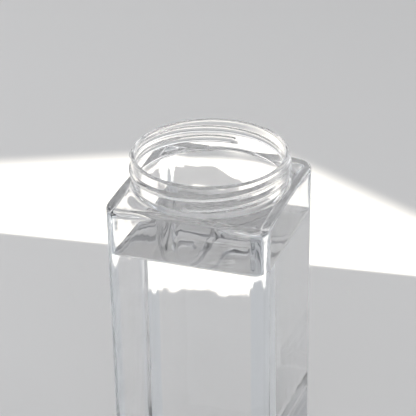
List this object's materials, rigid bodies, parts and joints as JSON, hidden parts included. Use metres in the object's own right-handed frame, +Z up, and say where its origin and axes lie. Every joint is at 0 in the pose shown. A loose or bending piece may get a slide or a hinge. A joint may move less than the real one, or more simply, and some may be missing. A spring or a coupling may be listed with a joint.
{
  "type": "specimen jar",
  "caption": "Tall square clear-glass specimen jar with a wide round screw neck, open at the top and filled with clear fluid to a little under the shoulder.",
  "frame": {"origin": "middle of the square outline that the jar stands on, in the plane of its resting face", "axes": "+Z up along the jar's axis, out of its mouth; +X and +Y square to two neighbouring flat sides"},
  "size_m": [0.084, 0.084, 0.1972],
  "materials": {
    "clear_glass": "polished",
    "fluid": "polished"
  },
  "bodies": {
    "root": {"jar_body": "clear_glass", "clear_fluid": "fluid"}
  },
  "joints": []
}
